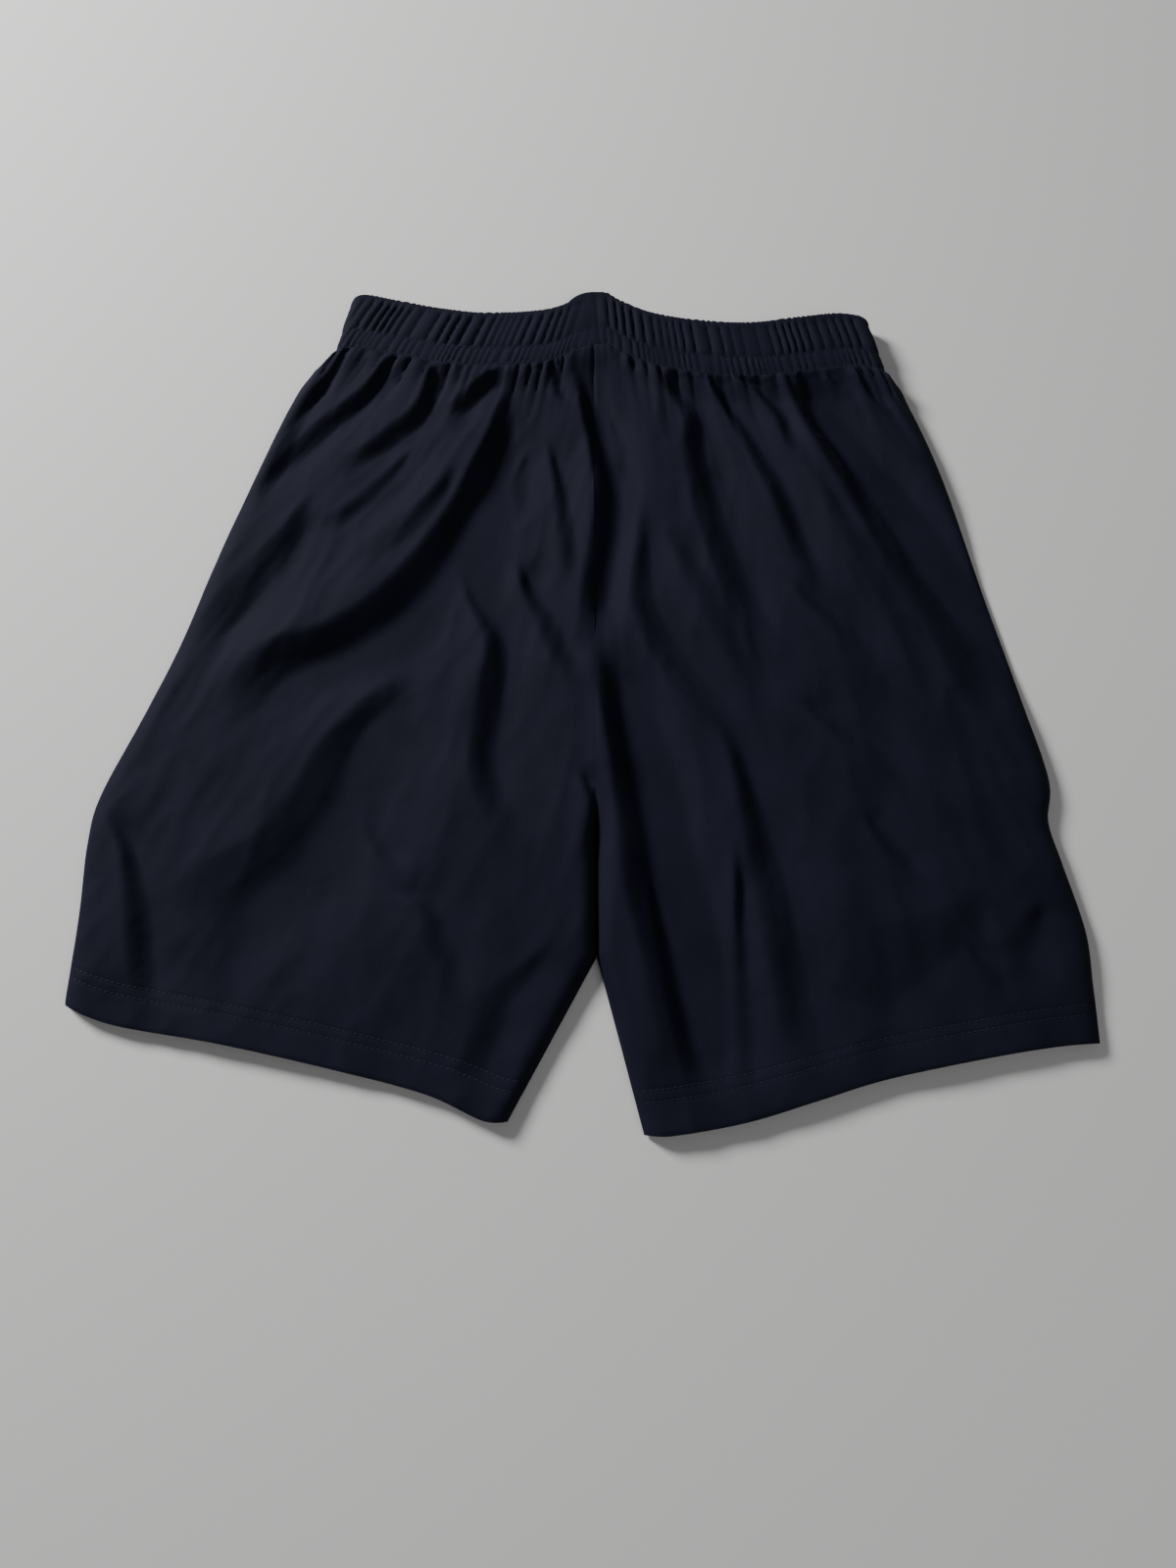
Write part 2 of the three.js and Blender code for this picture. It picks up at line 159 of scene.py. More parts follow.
# %% Fold lines
# drop, half the width of its wall, length of the way back up, height of the crest, points
LEFT_FOLDS = [
    (-2.6, 12, 26, -0.6, [(-60, 180), (-91, 129), (-110, 105), (-132, 80), (-160, 56), (-200, 21),
                          (-235, -20)]),
    (3.0, 7, 20, 0.8, [(-70, 140), (-92, 106), (-118, 84), (-140, 66)]),
    (2.4, 4, 10, 1.2, [(-28, 150), (-34, 128), (-32, 104)]),
    (11.0, 11, 40, 3.6, [(-34, 206), (-40, 187), (-52, 145), (-75, 93), (-100, 56), (-124, 33),
                        (-151, 18), (-172, 13), (-187, 4), (-197, -14), (-214, -45)]),
    (4.4, 5, 14, 2.0, [(-87, 222), (-95, 181), (-113, 162), (-132, 147), (-152, 145)]),
    (4.4, 5, 14, 2.0, [(-114, 222), (-132, 192), (-156, 170), (-177, 148), (-191, 126)]),
    (4.0, 5.5, 15, 1.8, [(-150, 214), (-172, 181), (-184, 153), (-193, 131), (-205, 110)]),
    (4.4, 5, 11, 2.0, [(-45, 206), (-66, 186), (-82, 171)]),
    (2.2, 4.5, 12, 1.6, [(-98, 156), (-118, 128), (-138, 108), (-162, 96)]),
    (4.0, 9, 20, 1.6, [(-160, 124), (-176, 92), (-194, 66), (-214, 40), (-236, 6)]),
    (6.2, 7, 24, 2.0, [(-77, 93), (-66, 66), (-57, 43), (-46, 18), (-50, -24), (-53, -50),
                         (-48, -75), (-37, -96), (-27, -113)]),
    (5.0, 6, 15, 2.2, [(-34, 77), (-27, 54), (-16, 33), (-8, 13), (1, 2), (13, -2)]),
    (3.6, 4.5, 12, 1.2, [(-17, 159), (-11, 137), (-6, 108), (-3, 77), (-1, 49)]),
    (2.6, 3, 8, 0.7, [(-14, 216), (-11, 194), (-3, 176)]),
    (1.6, 2.5, 7, 0.3, [(-20, 210), (-29, 201)]),
    (10.0, 17, 38, 3.0, [(-85, 4), (-118, -23), (-133, -45), (-144, -72), (-155, -91),
                        (-170, -111), (-189, -123), (-209, -135), (-225, -151)]),
    (4.6, 6, 15, 2.0, [(-273, -81), (-259, -102), (-250, -131), (-245, -159), (-240, -186),
                       (-234, -207)]),
    (2.6, 4, 10, 0.6, [(-119, -75), (-118, -93), (-109, -108), (-95, -119)]),
    (3.0, 6, 16, 0.9, [(-107, -130), (-84, -138), (-75, -160), (-67, -179), (-58, -193)]),
    (2.6, 7, 18, 0.6, [(-7, -156), (-23, -174), (-38, -187), (-47, -208), (-65, -247)]),
]
CENTRE_FOLDS = [
    (9.0, 7, 17, 2.4, [(1, 212), (10, 173), (17, 141), (21, 120), (19, 90), (14, 59), (11, 26),
                       (13, 2)]),
    (4.2, 4, 9, 1.0, [(3, -59), (14, -86), (9, -117)]),
    (16.0, 14, 24, 4.6, [(15, 24), (24, -20), (30, -46), (37, -84), (43, -122), (52, -157),
                           (59, -191), (65, -226), (72, -262)]),
    (5.0, 6, 16, 1.2, [(42, -112), (50, -152), (59, -196), (69, -250)]),
]
RIGHT_FOLDS = [
    (3.2, 9, 24, 1.2, [(60, 96), (74, 62), (92, 30), (104, -2), (108, -40)]),
    (2.8, 8, 22, 1.0, [(150, 128), (166, 92), (184, 58), (200, 18), (208, -24)]),
    (2.0, 4, 10, 0.9, [(23, 176), (29, 150), (31, 118)]),
    (2.4, 2.5, 7, 0.6, [(32, 228), (37, 209), (39, 199)]),
    (6.6, 8, 22, 2.2, [(47, 224), (62, 191), (75, 169), (76, 145), (83, 110), (92, 75),
                         (101, 48), (112, 24), (123, -6)]),
    (5.4, 5.5, 16, 2.0, [(74, 216), (89, 190), (103, 166), (117, 137), (130, 106), (138, 77),
                         (150, 54), (163, 43)]),
    (5.2, 4, 10, 2.0, [(92, 204), (115, 186), (127, 173), (134, 154), (140, 136)]),
    (15.0, 14.5, 15, 5.0, [(126, 208), (138, 190), (158, 154), (183, 110), (206, 68), (227, 24),
                         (241, -16), (249, -42)]),
    (2.0, 2.5, 7, 0.6, [(177, 199), (188, 180), (199, 167)]),
    (1.8, 2.5, 7, 0.5, [(159, 197), (171, 183)]),
    (5.0, 8, 22, 2.2, [(45, 115), (43, 81), (42, 47), (52, 19), (69, -9), (86, -32), (95, -55)]),
    (6.4, 9, 22, 1.6, [(80, -24), (92, -45), (98, -66), (106, -103), (112, -138), (117, -172),
                       (123, -203), (129, -250)]),
    (4.2, 4.5, 12, 1.6, [(91, -100), (93, -115), (93, -146), (93, -172), (93, -208), (93, -256)]),
    (3.4, 16, 26, 0.8, [(229, -126), (218, -147), (203, -158), (182, -167), (166, -180),
                       (154, -199), (149, -219)]),
    (2.2, 5, 10, 0.5, [(217, -162), (228, -178), (239, -195)]),
    (2.6, 7, 14, 0.9, [(262, -138), (249, -158), (238, -173)]),
    (2.6, 5, 12, 0.6, [(164, -86), (175, -104), (191, -122), (199, -130)]),
    (2.2, 3, 7, 0.6, [(68, -208), (76, -219), (83, -227)]),
    (2.6, 6, 17, 0.6, [(130, 57), (149, 34), (169, 13), (182, -5)]),
    (2.6, 6, 17, 0.6, [(130, -18), (160, -44), (171, -52), (196, -71)]),
]


def fold_height(x, y, folds):
    """How far the folds raise or lower the cloth at each point."""
    total = np.zeros_like(x)
    for drop, wall, back, crest, points in folds:
        line = through(points, 6 * len(points))
        a, ab = line[:-1], np.diff(line, axis=0)
        run = np.concatenate([[0], np.cumsum(np.hypot(*ab.T))])
        reach = 2.2 * back + 4 * wall
        low, high = line.min(0) - reach, line.max(0) + reach
        near = (x > low[0]) & (x < high[0]) & (y > low[1]) & (y < high[1])
        if not near.any():
            continue
        px, py = x[near][:, None] - a[:, 0], y[near][:, None] - a[:, 1]
        t = np.clip((px * ab[:, 0] + py * ab[:, 1]) / (ab**2).sum(1), 0, 1)
        far = np.hypot(px - t * ab[:, 0], py - t * ab[:, 1])
        closest = far.min(1, keepdims=True)
        weight = np.exp((closest - far) / (1.0 + 0.22 * closest))
        weight /= weight.sum(1, keepdims=True)
        which = np.where(ab[:, 0] * py - ab[:, 1] * px > 0, 1, -1)
        which = which[np.arange(len(far)), far.argmin(1)]
        share = (weight * (run[:-1] + t * np.diff(run))).sum(1) / run[-1]
        far = (weight * far).sum(1) * which
        width = wall * (0.55 + 0.75 * smooth(share / 0.6))
        ends = smooth(share / 0.22) * smooth((1 - share) / 0.30)
        part = np.clip((far / width + 1) / 2, 0, 1)
        down = 0.5 * part + 0.5 * smooth(part)
        up = np.maximum(0, far - width) / back
        near_top = np.abs(far + width) / (1.5 * width + 3)
        top = np.exp(0.2 - np.sqrt(near_top**2 * 1.6 + 0.04))
        total[near] += ends * (crest * top - drop * down * np.exp(-0.55 * up - 0.7 * up * up))
    return total


ALL_FOLDS = LEFT_FOLDS + CENTRE_FOLDS + RIGHT_FOLDS
print(len(ALL_FOLDS), "folds, the deepest", max(fold[0] for fold in ALL_FOLDS), "mm")

# %% [markdown]
# ## The gathers
# The elastic is shorter than the cloth around it, so the cloth stands up in small puckers
# between the rows of stitching. Cloth under a stitch is held down, which makes each valley sharp
# and each ridge round. The puckers fade below the band, and some run on as folds.

# %% Gathers
def pucker(s, pitch, seed):
    """Round ridges with sharp valleys, a little uneven, from about -0.6 to 0.4."""
    s = (s + 0.26 * pitch * np.sin(s / (0.9 * pitch) + seed)
         + 0.6 * pitch * np.sin(s / (2.3 * pitch) + 2 * seed))
    ridge = np.abs(np.sin(np.pi * s / pitch)) ** 0.6
    uneven = 0.78 + 0.34 * np.sin(s / (1.3 * pitch) + 3 * seed) + 0.22 * np.sin(s / (3.1 * pitch))
    return (ridge - 0.6) * uneven


def ungathered(x):
    """1 on the flat patch beside the centre seam, and 0 elsewhere."""
    return smooth((x + 5) / 8) * smooth((21 - x) / 8)


def slanted(x, down):
    lean = np.where(x < SEAM_X, 0.30, -0.06)
    return x + lean * (down - 17)


def band_face(x, down, strength=1.0):
    """How far the band's cloth stands out from the middle of the band."""
    s = slanted(x, down)
    flat = ungathered(x)
    zone = np.clip((down - 7.5) / (UPPER_ROW - 7.5), 0, 1)
    lower = np.clip((down - UPPER_ROW) / (LOWER_ROW - UPPER_ROW), 0, 1)
    roll = 1.9 * np.sqrt(np.clip(1 - ((3.4 - np.minimum(down, 3.4)) / 3.4) ** 2, 0, 1))
    rows = np.exp(-((down - UPPER_ROW) / 1.5) ** 2) + np.exp(-((down - LOWER_ROW) / 1.5) ** 2)
    face = roll - 0.15 * np.exp(-((down - 7.8) / 1.5) ** 2) - 0.38 * rows * (1 - 0.7 * flat)
    face = face + 0.5 * np.sin(np.pi * zone) + 0.15 * np.sin(np.pi * lower)
    main = smooth((down - 1.5) / 6) * smooth((UPPER_ROW + 1.5 - down) / 5)
    big = pucker(s, 6.3, 1.3) * main
    small = pucker(s, 4.2, 0.4) * smooth((down - UPPER_ROW + 2) / 4)
    edge = pucker(s, 3.3, 2.2) * smooth(1 - np.abs(down - 3.2) / 4)
    gather = (1 - 0.65 * flat) * (1.9 * big + 0.95 * small + 0.45 * edge)
    face = face - 0.7 * smooth((down - 38.8) / 1.4)
    return face + strength * gather


across_band = band_face(np.linspace(-150, -50, 400), np.full(400, 16.0))
print("the band's cloth rises and falls by", round(float(np.ptp(across_band)), 2), "mm")

# %% [markdown]
# ## How high the cloth lies
# The front of the shorts lies on the surface. The back lies over it with a little air between
# them, and the two come together at the side and, below the fork, at the inseam. The height of
# the back is that rest level, plus the folds, the gathers and a faint unevenness.

# %% Height of the two layers
BAND_BACK, BAND_FRONT = 11.4, 2.7
LOWEST, HIGHEST = 3.2, 16.6  # away from its edges, the back's height eases off at these two


def rough_noise(x, y, scale, seed):
    return np.array([noise.noise(Vector((a / scale, b / scale, seed))) for a, b in zip(x, y)])


def join_height(half, v):
    """Height at which the two layers meet at the side and the inseam."""
    return 2.0 + 4.6 * smooth(1 - v * half["long"] / 34)


def round_edge(far, radius):
    t = np.clip(far / radius, 0, 1)
    return np.sqrt(1 - (1 - t) ** 2)


def back_height(half, u, v, x, y, wide):
    down = v * half["long"]
    top_y = TOP_Y + band_top(half, np.abs(x - SEAM_X) / (half["band_end"] + half["flare"]))
    below = np.maximum(top_y - y - LOWER_ROW, 0)
    s = slanted(x, 38)
    lean = np.where(x < SEAM_X, 0.12 - 0.0028 * (x - SEAM_X), -0.0026 * (x - SEAM_X)) * below
    gather = 1.3 * pucker(s + lean, 4.2, 0.4) * np.exp(-below / 11)
    gather += 4.6 * pucker(s + lean, 8.6, 0.9) * np.exp(-below / 14) * smooth(below / 4)
    gather += 2.4 * pucker(s + lean, 21.0, 1.7) * np.exp(-below / 40) * smooth(below / 12)
    gather *= 1 - 0.7 * ungathered(x) * smooth(1 - below / 20)
    level = 9.6 - 1.6 * smooth((down - 0.75 * half["long"]) / (0.25 * half["long"]))
    at_band = (BAND_BACK + band_face(x, np.full_like(x, LOWER_ROW), 0.0) - 0.1
               + 0.5 * smooth(below / 2.5))
    near = smooth(1 - below / 20)
    level = level + (at_band - level) * near + 0.9 * smooth(below / 8) * smooth(1 - below / 34)
    fan = (x - SEAM_X + np.where(x < SEAM_X, 0.30, 0.02) * below) / (1 + below / 420)
    uneven = 1.4 * rough_noise(x, y, 62, 3.1) + 0.08 * rough_noise(x, y, 9, 1.9)
    uneven += 1.5 * (0.35 - np.abs(rough_noise(fan * 4.5, below, 78, 7.7)))
    uneven += 0.9 * (0.30 - np.abs(rough_noise(fan * 3.0, below, 30, 4.4))) * smooth(below / 30)
    free = 1 - smooth(1 - below / 7) * 0.95
    hem_rest = smooth((half["long"] - down) / 26)
    shape = fold_height(x, y, ALL_FOLDS) * free * (0.72 + 0.28 * hem_rest) + uneven * free
    height = level + gather + shape
    from_hem = (1 - v) * half["long"]
    for row in (HEM_UPPER_ROW, HEM_LOWER_ROW):
        height -= 0.28 * np.exp(-((from_hem - row) / 1.1) ** 2)
    height += 0.2 * smooth(1 - from_hem / 25) - 0.5 * np.exp(-(from_hem / 1.2) ** 2)
    height -= (0.15 + 0.7 * smooth((100 - down) / 30)) * np.exp(-((x - SEAM_X) / 0.9) ** 2)
    height = LOWEST + np.log1p(np.exp((height - LOWEST) * 1.2)) / 1.2
    height = HIGHEST - np.log1p(np.exp((HIGHEST - height) * 1.4)) / 1.4
    below_fork = smooth((down - RISE + 12) / 40)
    outer = round_edge((1 - u) * wide, 13)
    inner = 1 + (round_edge(u * wide, 11) - 1) * below_fork
    meet = join_height(half, v)
    return meet + (height - meet) * np.minimum(outer, inner)


def front_height(half, u, v, x, y, wide):
    down = v * half["long"]
    near_band = smooth(1 - down / 30)
    near_hem = smooth(1 - ((1 - v) * half["long"] - 28) / 14)
    rest = 0.35 + (BAND_FRONT - 1.3 - 0.35) * near_band + 1.1 * near_hem
    uneven = 0.5 + 0.5 * rough_noise(x, y, 40, 5.5)
    rest = rest + 0.7 * uneven * (1 - near_band)
    below = np.maximum(down - 1, 0)
    rest += 0.5 * (1 + pucker(x, 9.1, 1.9)) * np.exp(-below / 22) * smooth(below / 5)
    below_fork = smooth((down - RISE + 12) / 40)
    outer = round_edge((1 - u) * wide, 13)
    inner = 1 + (round_edge(u * wide, 11) - 1) * below_fork
    meet = join_height(half, v) - 0.3
    return meet + (rest - meet) * np.minimum(outer, inner)


u, v = np.full(200, 0.5), np.linspace(0, 1, 200)
for side, half in HALVES.items():
    x, y, wide = plan(half, u, v)
    level = back_height(half, u, v, x, y, wide)
    print(side, "back, down its middle:", level.min().round(1), "to", level.max().round(1), "mm")

# %% [markdown]
# ## Cutting a sheet
# Every piece of cloth starts as a flat grid, is laid on its place point by point, and is then
# given its thickness. The grid's UV map is set in metres along the two threads of the cloth, so
# that the weave later runs with the cloth and keeps its size.

# %% Cloth from a grid
def alone(obj):
    bpy.ops.object.select_all(action="DESELECT")
    obj.select_set(True)
    bpy.context.view_layer.objects.active = obj


def cloth_piece(name, across, along, place, thick, up=True, closed=False, uv_size=(0.3, 0.5)):
    """A sheet of across x along cells. place(u, v) gives millimetres."""
    bpy.ops.object.select_all(action="DESELECT")
    bpy.ops.mesh.primitive_grid_add(x_subdivisions=across, y_subdivisions=along, size=1)
    obj = bpy.context.object
    obj.name = obj.data.name = name
    mesh = obj.data
    flat = np.empty(len(mesh.vertices) * 3)
    mesh.vertices.foreach_get("co", flat)
    flat = flat.reshape(-1, 3)
    u, v = flat[:, 0] + 0.5, flat[:, 1] + 0.5
    laid = np.stack(place(u, v), -1) * MM
    mesh.vertices.foreach_set("co", laid.ravel())
    uv = np.empty(len(mesh.loops) * 2)
    mesh.uv_layers.active.data.foreach_get("uv", uv)
    uv = uv.reshape(-1, 2) * np.array(uv_size)
    mesh.uv_layers.active.data.foreach_set("uv", uv.ravel())
    mesh.update()
    alone(obj)
    bpy.ops.object.mode_set(mode="EDIT")
    bpy.ops.mesh.select_all(action="SELECT")
    if closed:
        bpy.ops.mesh.remove_doubles(threshold=1e-6)
        bpy.ops.mesh.normals_make_consistent(inside=False)
    bpy.ops.object.mode_set(mode="OBJECT")
    if not closed:
        lean = sum(face.normal.z * face.area for face in mesh.polygons)
        if (lean > 0) != up:
            bpy.ops.object.mode_set(mode="EDIT")
            bpy.ops.mesh.select_all(action="SELECT")
            bpy.ops.mesh.flip_normals()
            bpy.ops.object.mode_set(mode="OBJECT")
        wall = obj.modifiers.new("Thickness", "SOLIDIFY")
        wall.thickness = thick * MM
        wall.offset = -1
        bpy.ops.object.modifier_apply(modifier=wall.name)
    bpy.ops.object.shade_smooth_by_angle(angle=math.radians(50))
    area = sum(face.area for face in obj.data.polygons) / 2
    print(name, len(obj.data.polygons), "faces,", round(area, 4), "m2 of cloth")
    return obj


def fine_rows(t):
    """Closer rows at the band and the hem, where the stitching is."""
    return np.interp(t, [0, .07, .86, 1], [0, .03, .935, 1])

# %% [markdown]
# ## The four panels
# The back panels carry all that the eye meets, so they have the finest grid. The front panels
# lie face down and need fewer rows. A panel's top edge tucks in under the band.

# %% Panels
PLY = 0.7
pieces = {}


def panel_place(half, height, lift=0.0, tuck=3.2, first=0.0):
    def place(u, v):
        v = first + (1 - first) * fine_rows(v)
        x, y, wide = plan(half, u, v)
        y = y + tuck * np.clip(1 - v / 0.02, 0, 1)
        return x, y, height(half, u, v, x, y, wide) + lift
    return place


for side, half in HALVES.items():
    pieces["back_panel_" + side] = cloth_piece(
        "back_" + side, 132, 244, panel_place(half, back_height), PLY)
    pieces["front_panel_" + side] = cloth_piece(
        "front_" + side, 80, 130, panel_place(half, front_height), PLY, up=False)

# %% [markdown]
# ## The waistband
# The cloth is folded over an elastic and stitched through in two rows. It is made as one closed
# ring, swept along the front, round each side and back along the back. Sweeping a section keeps
# the two rows and the rolled top edge parallel, while the gathers change the section as it goes.

# %% Waistband ring
def half_path(half, step=0.8, bend=18):
    radius = (BAND_BACK - BAND_FRONT) / 2
    end = half["band_end"] - radius - 1.8
    count = int(end / step)
    straight = np.linspace(0, end, count)
    turn = np.linspace(0, np.pi, bend)[1:-1]
    along = np.concatenate([straight, end + radius * np.sin(turn), straight[::-1]])
    z = np.concatenate([np.full(count, BAND_FRONT), BAND_FRONT + radius * (1 - np.cos(turn)),
                        np.full(count, BAND_BACK)])
    nx = np.concatenate([np.zeros(count), np.sin(turn), np.zeros(count)])
    nz = np.concatenate([-np.ones(count), -np.cos(turn), np.ones(count)])
    return along, z, nx, nz


def ring_path():
    """Left half from front to back, then the right half from back to front."""
    left, right = half_path(HALVES["left"]), half_path(HALVES["right"])
    join = lambda a, b: np.concatenate([a[:-1], b[::-1]])
    sign = np.concatenate([-np.ones(len(left[0]) - 1), np.ones(len(right[0]))])
    return [join(a, b) for a, b in zip(left, right)] + [sign]


PATH = ring_path()
OUTER_DOWN = [40.3, 39.6, 38.9, 38.4, 37.8, 36.8, 35.2, 33.4, 31.6, 29.8, 28.4, 27.5, 27.0, 26.4,
              25.4, 23.8, 22, 20, 18, 16, 14, 12, 10.4, 9.2, 8.2, 7.3, 6.2, 4.8, 3.4, 2.2, 1.2,
              0.5, 0]
INNER_DOWN = [0.6, 1.8, 4, 8, 14, 20, 27, 33, 38.4, 40.3]
SECTION = [(down, 1.0) for down in OUTER_DOWN] + [(down, -1.0) for down in INNER_DOWN]
SECTION.append(SECTION[0])


def ring_point(station, down, out, bump=True):
    """A point of the band. station counts along the path, and out is 1 on the outer face."""
    low = np.minimum(station.astype(int), len(PATH[0]) - 2)
    w = station - low
    along, z, nx, nz, sign = [p[low] * (1 - w) + p[low + 1] * w for p in PATH]
    share = np.zeros_like(along)
    top = np.zeros_like(along)
    x = np.zeros_like(along)
    for name, half in HALVES.items():
        mine = (sign * half["sign"]) >= 0
        share[mine] = along[mine] / half["band_end"]
        top[mine] = band_top(half, share[mine])
    x_flat = SEAM_X + sign * along
    phase = np.where(nz >= 0, x_flat, x_flat + 3.7)
    strength = np.where(nz >= 0, 1.0, 1.0 + nz * 0.62)
    outer = band_face(phase, down, strength) if bump else np.full_like(down, 0.7)
    back = -1.35 * np.sqrt(np.clip(1 - ((3.4 - np.minimum(down, 3.4)) / 3.4) ** 2, 0, 1))
    far = np.where(out > 0, outer, back if bump else -0.7)
    reach = along + far * nx
    for name, half in HALVES.items():
        mine = (sign * half["sign"]) >= 0
        x[mine] = SEAM_X + sign[mine] * band_x(half, reach[mine], down[mine])
    near_top = np.clip(1 - down / 9, 0, 1)
    y = TOP_Y + top - down + near_top * 1.1 * pucker(phase, 3.3, 2.2) * (1 - ungathered(x_flat))
    y += near_top * 1.8 * np.exp(-((x_flat - 8) / 8) ** 2) * (nz > 0)
    return x, y, np.maximum(z + far * nz, 0.12)


def ring_place(u, v):
    section = np.array(SECTION)
    index = np.round(v * (len(SECTION) - 1)).astype(int)
    return ring_point(u * (len(PATH[0]) - 1), section[index, 0], section[index, 1])


pieces["waistband"] = cloth_piece(
    "waistband", len(PATH[0]) - 1, len(SECTION) - 1, ring_place, 0, closed=True,
    uv_size=(0.66, 0.09))

# %% [markdown]
# ## The elastic in the band
# A strip of woven elastic runs inside the band. It follows the same path without the gathers,
# because it is the elastic that is at rest and the cloth that is crowded on it.

# %% Elastic ring
def elastic_place(u, v):
    corner = np.round(v * 8).astype(int) % 8
    down = np.array([6, 16, 26, 36, 36, 26, 16, 6.0])[corner]
    out = np.array([1, 1, 1, 1, -1, -1, -1, -1.0])[corner]
    return ring_point(u * (len(PATH[0]) - 1), down, out, bump=False)


pieces["elastic"] = cloth_piece(
    "elastic", len(PATH[0]) // 2, 8, elastic_place, 0, closed=True, uv_size=(0.66, 0.064))

# %% [markdown]
# ## Hems, seams and label
# The hem is the cloth's own edge, turned up inside and stitched down. Inside each leg it is a
# second ply that follows the panel it is sewn to. The seam allowances are narrow strips of two
# plies on the inside, and the label hangs from the band.

# %% Inside pieces
def turn_up_place(half, height, lift):
    def place(u, v):
        v = 1 - (1 - v) * HEM_DEPTH / half["long"]
        x, y, wide = plan(half, u, v)
        mid = 0.5 + (u - 0.5) * (1 - 3.4 / wide)
        z = height(half, mid, v, *plan(half, mid, v))
        return plan(half, mid, v)[0], y + 0.5 * (v < 0.9999), z + lift
    return place


def strip_place(half, inner_side, first, last, deep):
    def place(u, v):
        v = first + (last - first) * v
        wide = plan(half, np.zeros_like(v), v)[2]
        far = (2.2 + deep * u) / wide
        uu = far if inner_side else 1 - far
        x, y, wide = plan(half, uu, v)
        low = front_height(half, uu, v, x, y, wide)
        high = back_height(half, uu, v, x, y, wide) - PLY
        return x, y, low + np.minimum(0.35 * (high - low), 1.5) + 0.3
    return place


def joined(name, parts):
    bpy.ops.object.select_all(action="DESELECT")
    for part in parts:
        part.select_set(True)
    bpy.context.view_layer.objects.active = parts[0]
    bpy.ops.object.join()
    parts[0].name = parts[0].data.name = name
    return parts[0]


for side, half in HALVES.items():
    over = cloth_piece("over", 110, 12, turn_up_place(half, back_height, -PLY - 0.1), 0.6, up=False)
    under = cloth_piece("under", 80, 12, turn_up_place(half, front_height, PLY + 0.1), 0.6)
    pieces["hem_" + side] = joined("hem_" + side, [over, under])
    fork = (RISE + 8) / half["long"]
    pieces["side_seam_" + side] = cloth_piece(
        "side_allowance_" + side, 3, 90, strip_place(half, False, 0.03, 0.945, 8), 0.8)
    pieces["inseam_" + side] = cloth_piece(
        "inseam_allowance_" + side, 3, 40, strip_place(half, True, fork, 0.945, 8), 0.8)


def rise_place(height, lift):
    half = HALVES["right"]

    def place(u, v):
        v = 0.012 + (RISE / half["long"] - 0.02) * v
        wide = plan(half, np.zeros_like(v), v)[2]
        uu = (0.3 + 8 * u) / wide
        x, y, wide = plan(half, uu, v)
        return x, y, height(half, uu, v, x, y, wide) + lift
    return place


pieces["back_rise"] = cloth_piece("back_rise", 3, 80, rise_place(back_height, -PLY - 0.2), 0.8)
pieces["front_rise"] = cloth_piece("front_rise", 3, 60, rise_place(front_height, PLY + 1.0), 0.8)
low, high = [np.array(corner) * 1000 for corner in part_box("care_label")]
LABEL_Z = 3.9


def label_place(u, v):
    x = low[0] + (high[0] - low[0]) * u
    y = high[1] + (low[1] - high[1]) * v
    return x, y, LABEL_Z - 0.25 * (2 * u - 1) ** 2 - 0.3 * np.sin(3 * v)


pieces["label"] = cloth_piece("label", 10, 14, label_place, 0.25, uv_size=(0.02, 0.03))
print("label at", low.round(1), high.round(1))

# %% [markdown]
# ## Stitches
# A row of stitching is many short threads that dip into the cloth at both ends. One stitch is
# modelled as a small drop and copied along each row, a little uneven, as a machine leaves it on
# gathered cloth.

# %% One stitch, and rows of it
bpy.ops.object.select_all(action="DESELECT")
bpy.ops.mesh.primitive_uv_sphere_add(segments=6, ring_count=5, radius=0.5)
one_stitch = bpy.context.object
bpy.ops.object.mode_set(mode="EDIT")
bpy.ops.mesh.select_all(action="SELECT")
bpy.ops.transform.rotate(value=math.pi / 2, orient_axis="Y", center_override=(0, 0, 0))
bpy.ops.object.mode_set(mode="OBJECT")
STITCH_VERTS = np.array([v.co[:] for v in one_stitch.data.vertices])
STITCH_FACES = [tuple(f.vertices) for f in one_stitch.data.polygons]
bpy.data.objects.remove(one_stitch)


def stitch_row(name, line, up, length=2.5, gap=0.8, thread=0.5):
    """Copies the stitch along a line of points, in millimetres."""
    rng = np.random.default_rng(len(line))
    steps = np.linalg.norm(np.diff(line, axis=0), axis=1)
    run = np.concatenate([[0], np.cumsum(steps)])
    starts = np.arange(0.6, run[-1] - length, length + gap)
    at = lambda r: np.stack([np.interp(r, run, line[:, k]) for k in range(3)], -1)
    verts, faces = [], []
    for start in starts:
        a, b = at(start), at(start + length * rng.uniform(0.92, 1.04))
        way = (b - a) / np.linalg.norm(b - a)
        above = np.array([0, 0, 1.0 if up else -1.0])
        aside = np.cross(above, way)
        aside /= np.linalg.norm(aside)
        above = np.cross(way, aside)
        middle = (a + b) / 2 + above * 0.12
        shape = STITCH_VERTS * [np.linalg.norm(b - a), thread * rng.uniform(0.9, 1.1), thread]
        base = len(verts) * len(STITCH_VERTS)
        verts.append(middle + shape @ np.array([way, aside, above]))
        faces += [tuple(i + base for i in f) for f in STITCH_FACES]
    mesh = bpy.data.meshes.new(name)
    mesh.from_pydata((np.concatenate(verts) * MM).tolist(), [], faces)
    mesh.validate()
    obj = bpy.data.objects.new(name, mesh)
    bpy.context.scene.collection.objects.link(obj)
    alone(obj)
    bpy.ops.object.mode_set(mode="EDIT")
    bpy.ops.mesh.select_all(action="SELECT")
    bpy.ops.mesh.normals_make_consistent(inside=False)
    bpy.ops.object.mode_set(mode="OBJECT")
    bpy.ops.object.shade_smooth()
    print(name, len(starts), "stitches")
    return obj


